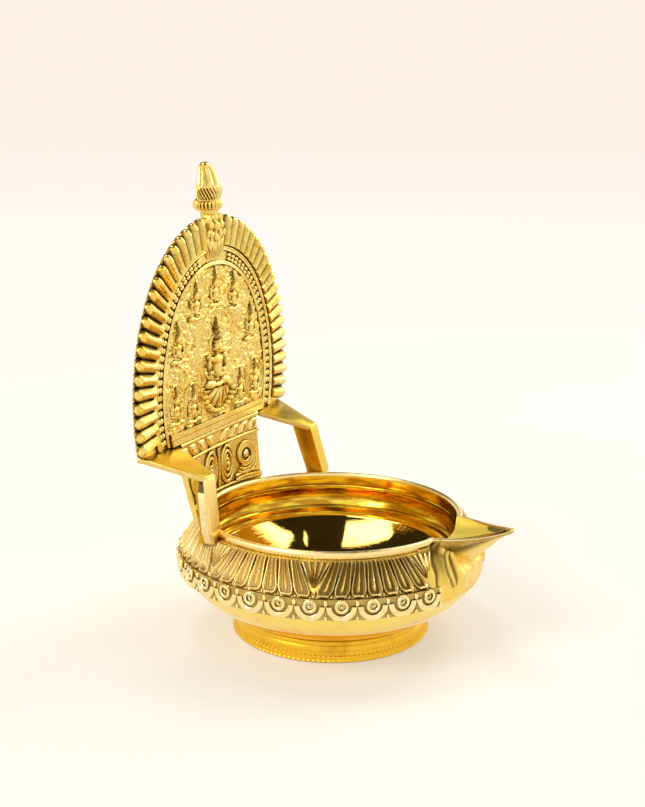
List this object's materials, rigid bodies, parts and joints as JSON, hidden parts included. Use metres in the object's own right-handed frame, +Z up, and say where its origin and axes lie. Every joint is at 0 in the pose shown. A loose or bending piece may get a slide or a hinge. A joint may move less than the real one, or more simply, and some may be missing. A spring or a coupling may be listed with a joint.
{
  "type": "brass oil lamp",
  "caption": "Footed round oil lamp bowl with a pointed wick spout, a band of beads and petals, and an upright arched back plate in relief held by a stem and two side arms.",
  "frame": {"origin": "centre of the foot ring's underside, on the surface that the lamp stands on", "axes": "+Z up; -Y towards the wick spout's tip; +Y towards the back plate; +X to the right when the relief is seen from the spout's side, the lamp being the same on both sides of X = 0"},
  "size_m": [0.0894, 0.0984, 0.1305],
  "materials": {
    "polished_brass": "polished",
    "satin_brass": "satin, turned or filed",
    "cast_brass": "cast relief, lightly buffed"
  },
  "bodies": {
    "root": {"bowl": "polished_brass", "spout": "polished_brass", "scallops": "polished_brass", "scallop_beads": "polished_brass", "scallop_band": "polished_brass", "finial_hood": "polished_brass", "finial_collar": "polished_brass", "finial_knob": "polished_brass", "foot_ring": "satin_brass", "arm_left": "satin_brass", "arm_right": "satin_brass", "back_plate": "cast_brass", "ray_border": "cast_brass", "outer_moulding": "cast_brass", "inner_moulding": "cast_brass", "bead_strip": "cast_brass", "panel_steps": "cast_brass", "lotus_seat": "cast_brass", "central_figure": "cast_brass", "attendant_figures": "cast_brass", "stem": "cast_brass", "stem_mouldings": "cast_brass", "leaf_band": "cast_brass", "scrolls": "cast_brass", "crest_ornament": "cast_brass", "petal_fan_1": "cast_brass", "petal_fan_2": "cast_brass", "petal_fan_3": "cast_brass", "petal_fan_4": "cast_brass", "petal_fan_5": "cast_brass", "petal_fan_6": "cast_brass", "petal_fan_7": "cast_brass"}
  },
  "joints": []
}
